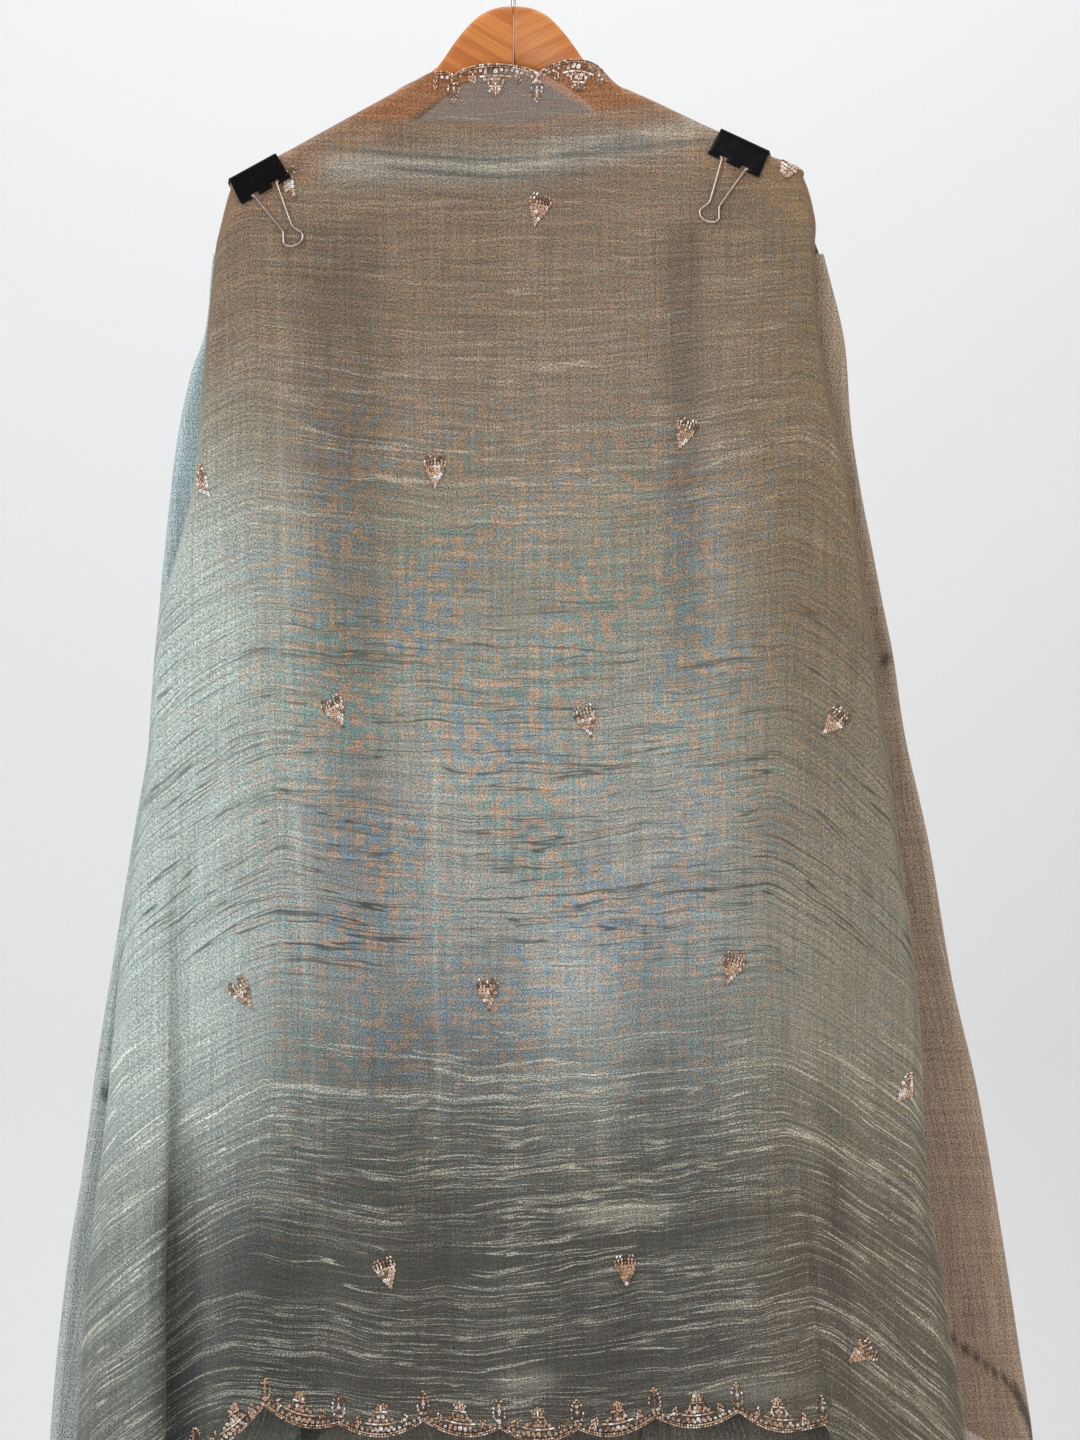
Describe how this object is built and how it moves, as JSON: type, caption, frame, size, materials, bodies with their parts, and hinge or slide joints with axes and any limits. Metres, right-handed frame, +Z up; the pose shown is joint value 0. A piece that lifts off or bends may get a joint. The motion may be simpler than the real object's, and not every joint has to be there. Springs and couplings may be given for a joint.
{
  "type": "dupatta stole on a wooden hanger",
  "caption": "Sheer crinkled dupatta stole with a scalloped beaded border, draped over a wooden hanger and held by binder clips.",
  "frame": {"origin": "inside top of the hook's bend, where it rests on the rail", "axes": "+Z up, +X to the right along the hanger, the dupatta's front faces -Y"},
  "size_m": [0.7339, 0.1109, 1.4496],
  "materials": {
    "wood": "light varnished wood, satin",
    "hook_wire": "polished wire",
    "clip_black": "gloss black enamel",
    "handle_wire": "bright plated wire",
    "cloth": "sheer crinkled tissue, sage grey with a gold shimmer"
  },
  "bodies": {
    "hanger_and_cloth": {"arm_left": "wood", "arm_right": "wood", "hook": "hook_wire", "clip_left": "clip_black", "clip_right": "clip_black", "front_turn_left_1": "cloth", "front_turn_left_2": "cloth", "front_turn_right_1": "cloth", "front_turn_right_2": "cloth", "front_left_1": "cloth", "front_left_2": "cloth", "front_left_3": "cloth", "front_middle_1": "cloth", "front_middle_2": "cloth", "front_middle_3": "cloth", "front_right_1": "cloth", "front_right_2": "cloth", "front_right_3": "cloth", "return_left_flat_1": "cloth", "return_left_flat_2": "cloth", "return_left_flat_3": "cloth", "return_left_flat_4": "cloth", "return_left_turn_1": "cloth", "return_left_turn_2": "cloth", "back_left_flat_1": "cloth", "back_left_flat_2": "cloth", "back_left_flat_3": "cloth", "back_left_flat_4": "cloth", "back_left_turn_1": "cloth", "back_left_turn_2": "cloth", "inner_left_flat_1": "cloth", "inner_left_flat_2": "cloth", "inner_left_flat_3": "cloth", "inner_left_flat_4": "cloth", "inner_left_flat_5": "cloth", "inner_left_turn_1": "cloth", "inner_left_turn_2": "cloth", "return_right_flat_1": "cloth", "return_right_flat_2": "cloth", "return_right_flat_3": "cloth", "return_right_flat_4": "cloth", "return_right_turn_1": "cloth", "return_right_turn_2": "cloth", "back_right_flat_1": "cloth", "back_right_flat_2": "cloth", "back_right_flat_3": "cloth", "back_right_flat_4": "cloth", "back_right_turn_1": "cloth", "back_right_turn_2": "cloth", "inner_right_flat_1": "cloth", "inner_right_flat_2": "cloth", "inner_right_flat_3": "cloth", "inner_right_flat_4": "cloth", "inner_right_flat_5": "cloth", "inner_right_turn_1": "cloth", "inner_right_turn_2": "cloth"},
    "handle_left_front": {"handle_left_front": "handle_wire"},
    "handle_left_back": {"handle_left_back": "handle_wire"},
    "handle_right_front": {"handle_right_front": "handle_wire"},
    "handle_right_back": {"handle_right_back": "handle_wire"}
  },
  "joints": [
    {"name": "handle_left_front_swing", "type": "hinge", "parent": "hanger_and_cloth", "child": "handle_left_front", "pos_m": [-0.18012, -0.03219, -0.20512], "axis": [-0.862, -0.1058, -0.4957], "range_deg": [0, 170]},
    {"name": "handle_left_back_swing", "type": "hinge", "parent": "hanger_and_cloth", "child": "handle_left_back", "pos_m": [-0.18256, -0.01234, -0.20512], "axis": [0.862, 0.1058, 0.4957], "range_deg": [0, 170]},
    {"name": "handle_right_front_swing", "type": "hinge", "parent": "hanger_and_cloth", "child": "handle_right_front", "pos_m": [0.16084, -0.02982, -0.18614], "axis": [-0.8926, 0.1096, 0.4374], "range_deg": [0, 170]},
    {"name": "handle_right_back_swing", "type": "hinge", "parent": "hanger_and_cloth", "child": "handle_right_back", "pos_m": [0.16328, -0.00997, -0.18614], "axis": [0.8926, -0.1096, -0.4374], "range_deg": [0, 170]}
  ]
}
